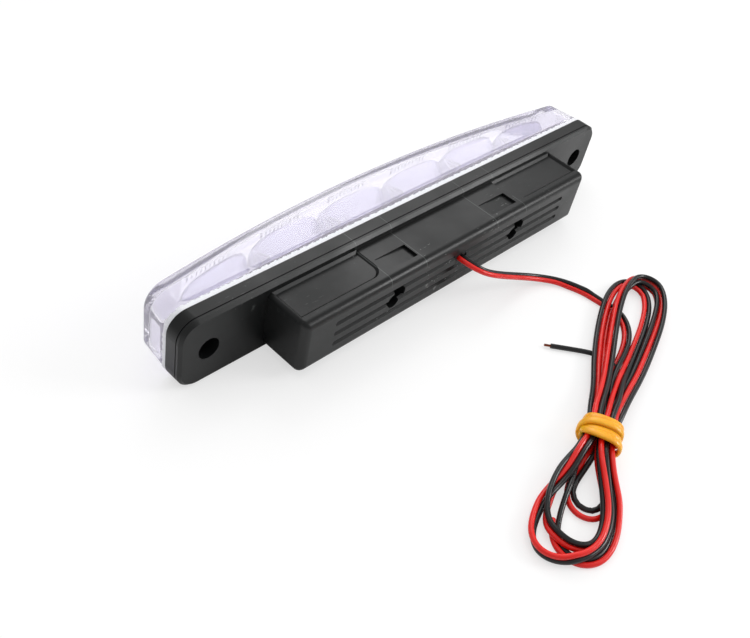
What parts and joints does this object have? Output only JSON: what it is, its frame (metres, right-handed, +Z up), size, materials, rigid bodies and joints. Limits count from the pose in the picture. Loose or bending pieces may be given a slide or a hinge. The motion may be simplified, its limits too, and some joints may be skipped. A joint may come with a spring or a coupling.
{
  "type": "daytime running light",
  "caption": "Slim daytime running light: bowed clear cover over a row of parabolic cups, black ribbed housing with mounting ears, and a twin lead tied in a hank.",
  "frame": {"origin": "under the middle of the lamp, on the surface that it rests on; the lead is left out of the box", "axes": "+X along the lamp, +Y out of the rear of the housing where the lead leaves, -Y out of the clear front, +Z up"},
  "size_m": [0.17, 0.1199, 0.021],
  "materials": {
    "black_housing": "satin moulded ABS",
    "clear_cover": "polished clear polycarbonate",
    "clear_optic": "polished clear polycarbonate",
    "sealant": "cured translucent sealant",
    "white_plate": "satin white moulding",
    "circuit_board": "solder mask over glass laminate",
    "diode_body": "moulded body with a clear dome",
    "chip_black": "moulded component body",
    "capacitor_can": "satin can",
    "screw_steel": "zinc plated",
    "black_rubber": "soft moulded rubber",
    "red_insulation": "soft vinyl insulation",
    "black_insulation": "soft vinyl insulation",
    "bare_copper": "bare stranded copper",
    "amber_rubber": "translucent natural rubber"
  },
  "bodies": {
    "root": {"housing": "black_housing", "lens_cover": "clear_cover", "sealant_bead": "sealant", "optic_strip": "clear_optic", "reflector_plate": "white_plate", "diode_board": "circuit_board", "light_diode_1": "diode_body", "light_diode_2": "diode_body", "light_diode_3": "diode_body", "light_diode_4": "diode_body", "light_diode_5": "diode_body", "light_diode_6": "diode_body", "resistor_1": "chip_black", "resistor_2": "chip_black", "resistor_3": "chip_black", "driver_board": "circuit_board", "regulator": "chip_black", "capacitor": "capacitor_can", "rectifier": "chip_black", "board_link": "chip_black", "case_screw_left": "screw_steel", "case_screw_right": "screw_steel", "cable_seal": "black_rubber", "inner_wire_red": "red_insulation", "inner_wire_black": "black_insulation", "lead_red": "red_insulation", "lead_black": "black_insulation", "tail_black": "black_insulation", "bare_strands": "bare_copper", "cord_hank": "black_insulation", "rubber_band": "amber_rubber"}
  },
  "joints": []
}
